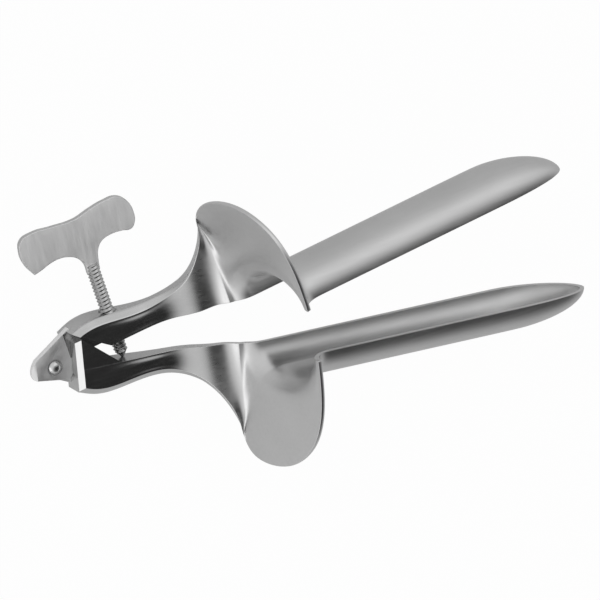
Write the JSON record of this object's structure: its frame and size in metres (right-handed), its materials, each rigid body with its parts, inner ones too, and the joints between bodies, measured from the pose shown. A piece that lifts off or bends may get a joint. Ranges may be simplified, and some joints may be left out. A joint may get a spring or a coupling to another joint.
{
  "type": "bivalve speculum",
  "caption": "Side-hinged bivalve speculum with trough blades, broad flared lips and a thumbscrew that spreads the arms.",
  "frame": {"origin": "hinge axis where it meets the flat outer side of the lower arm's lug", "axes": "+Z along the rivet, from the lower lug to the rivet's domed head; +X from the rivet towards the blade tips, on the mid line between the valves; +Y the way the upper valve opens"},
  "size_m": [0.1923, 0.1036, 0.0601],
  "materials": {
    "polished_arm_steel": "polished",
    "satin_blade_steel": "satin",
    "rivet_steel": "polished",
    "screw_steel": "turned",
    "plate_steel": "satin"
  },
  "bodies": {
    "lower_valve": {"lower_arm": "polished_arm_steel", "lower_blade": "satin_blade_steel", "pivot_rivet": "rivet_steel"},
    "upper_valve": {"upper_arm": "polished_arm_steel", "upper_blade": "satin_blade_steel"},
    "screw_point": {"swivel_tip": "screw_steel"},
    "thumbscrew": {"screw_shank": "screw_steel", "thumb_plate": "plate_steel"}
  },
  "joints": [
    {"name": "valve_spread", "type": "hinge", "parent": "lower_valve", "child": "upper_valve", "pos_m": [0, 0, 0.0026], "axis": [0, 0, 1], "range_deg": [-13.7, 22]},
    {"name": "screw_advance", "type": "slide", "parent": "upper_valve", "child": "screw_point", "axis": [0.1193, -0.9929, 0], "range_m": [-0.00628, 0.01008]},
    {"name": "screw_turn", "type": "hinge", "parent": "screw_point", "child": "thumbscrew", "pos_m": [0.02432, 0.00292, 0.0056], "axis": [0.1193, -0.9929, 0], "range_deg": [-2825.2, 4536.8]}
  ],
  "couplings": [
    {"joint": "screw_advance", "follows": "screw_turn", "m_per_rad": 0.00012732},
    {"joint": "valve_spread", "follows": "screw_turn", "ratio": 0.0048491}
  ]
}
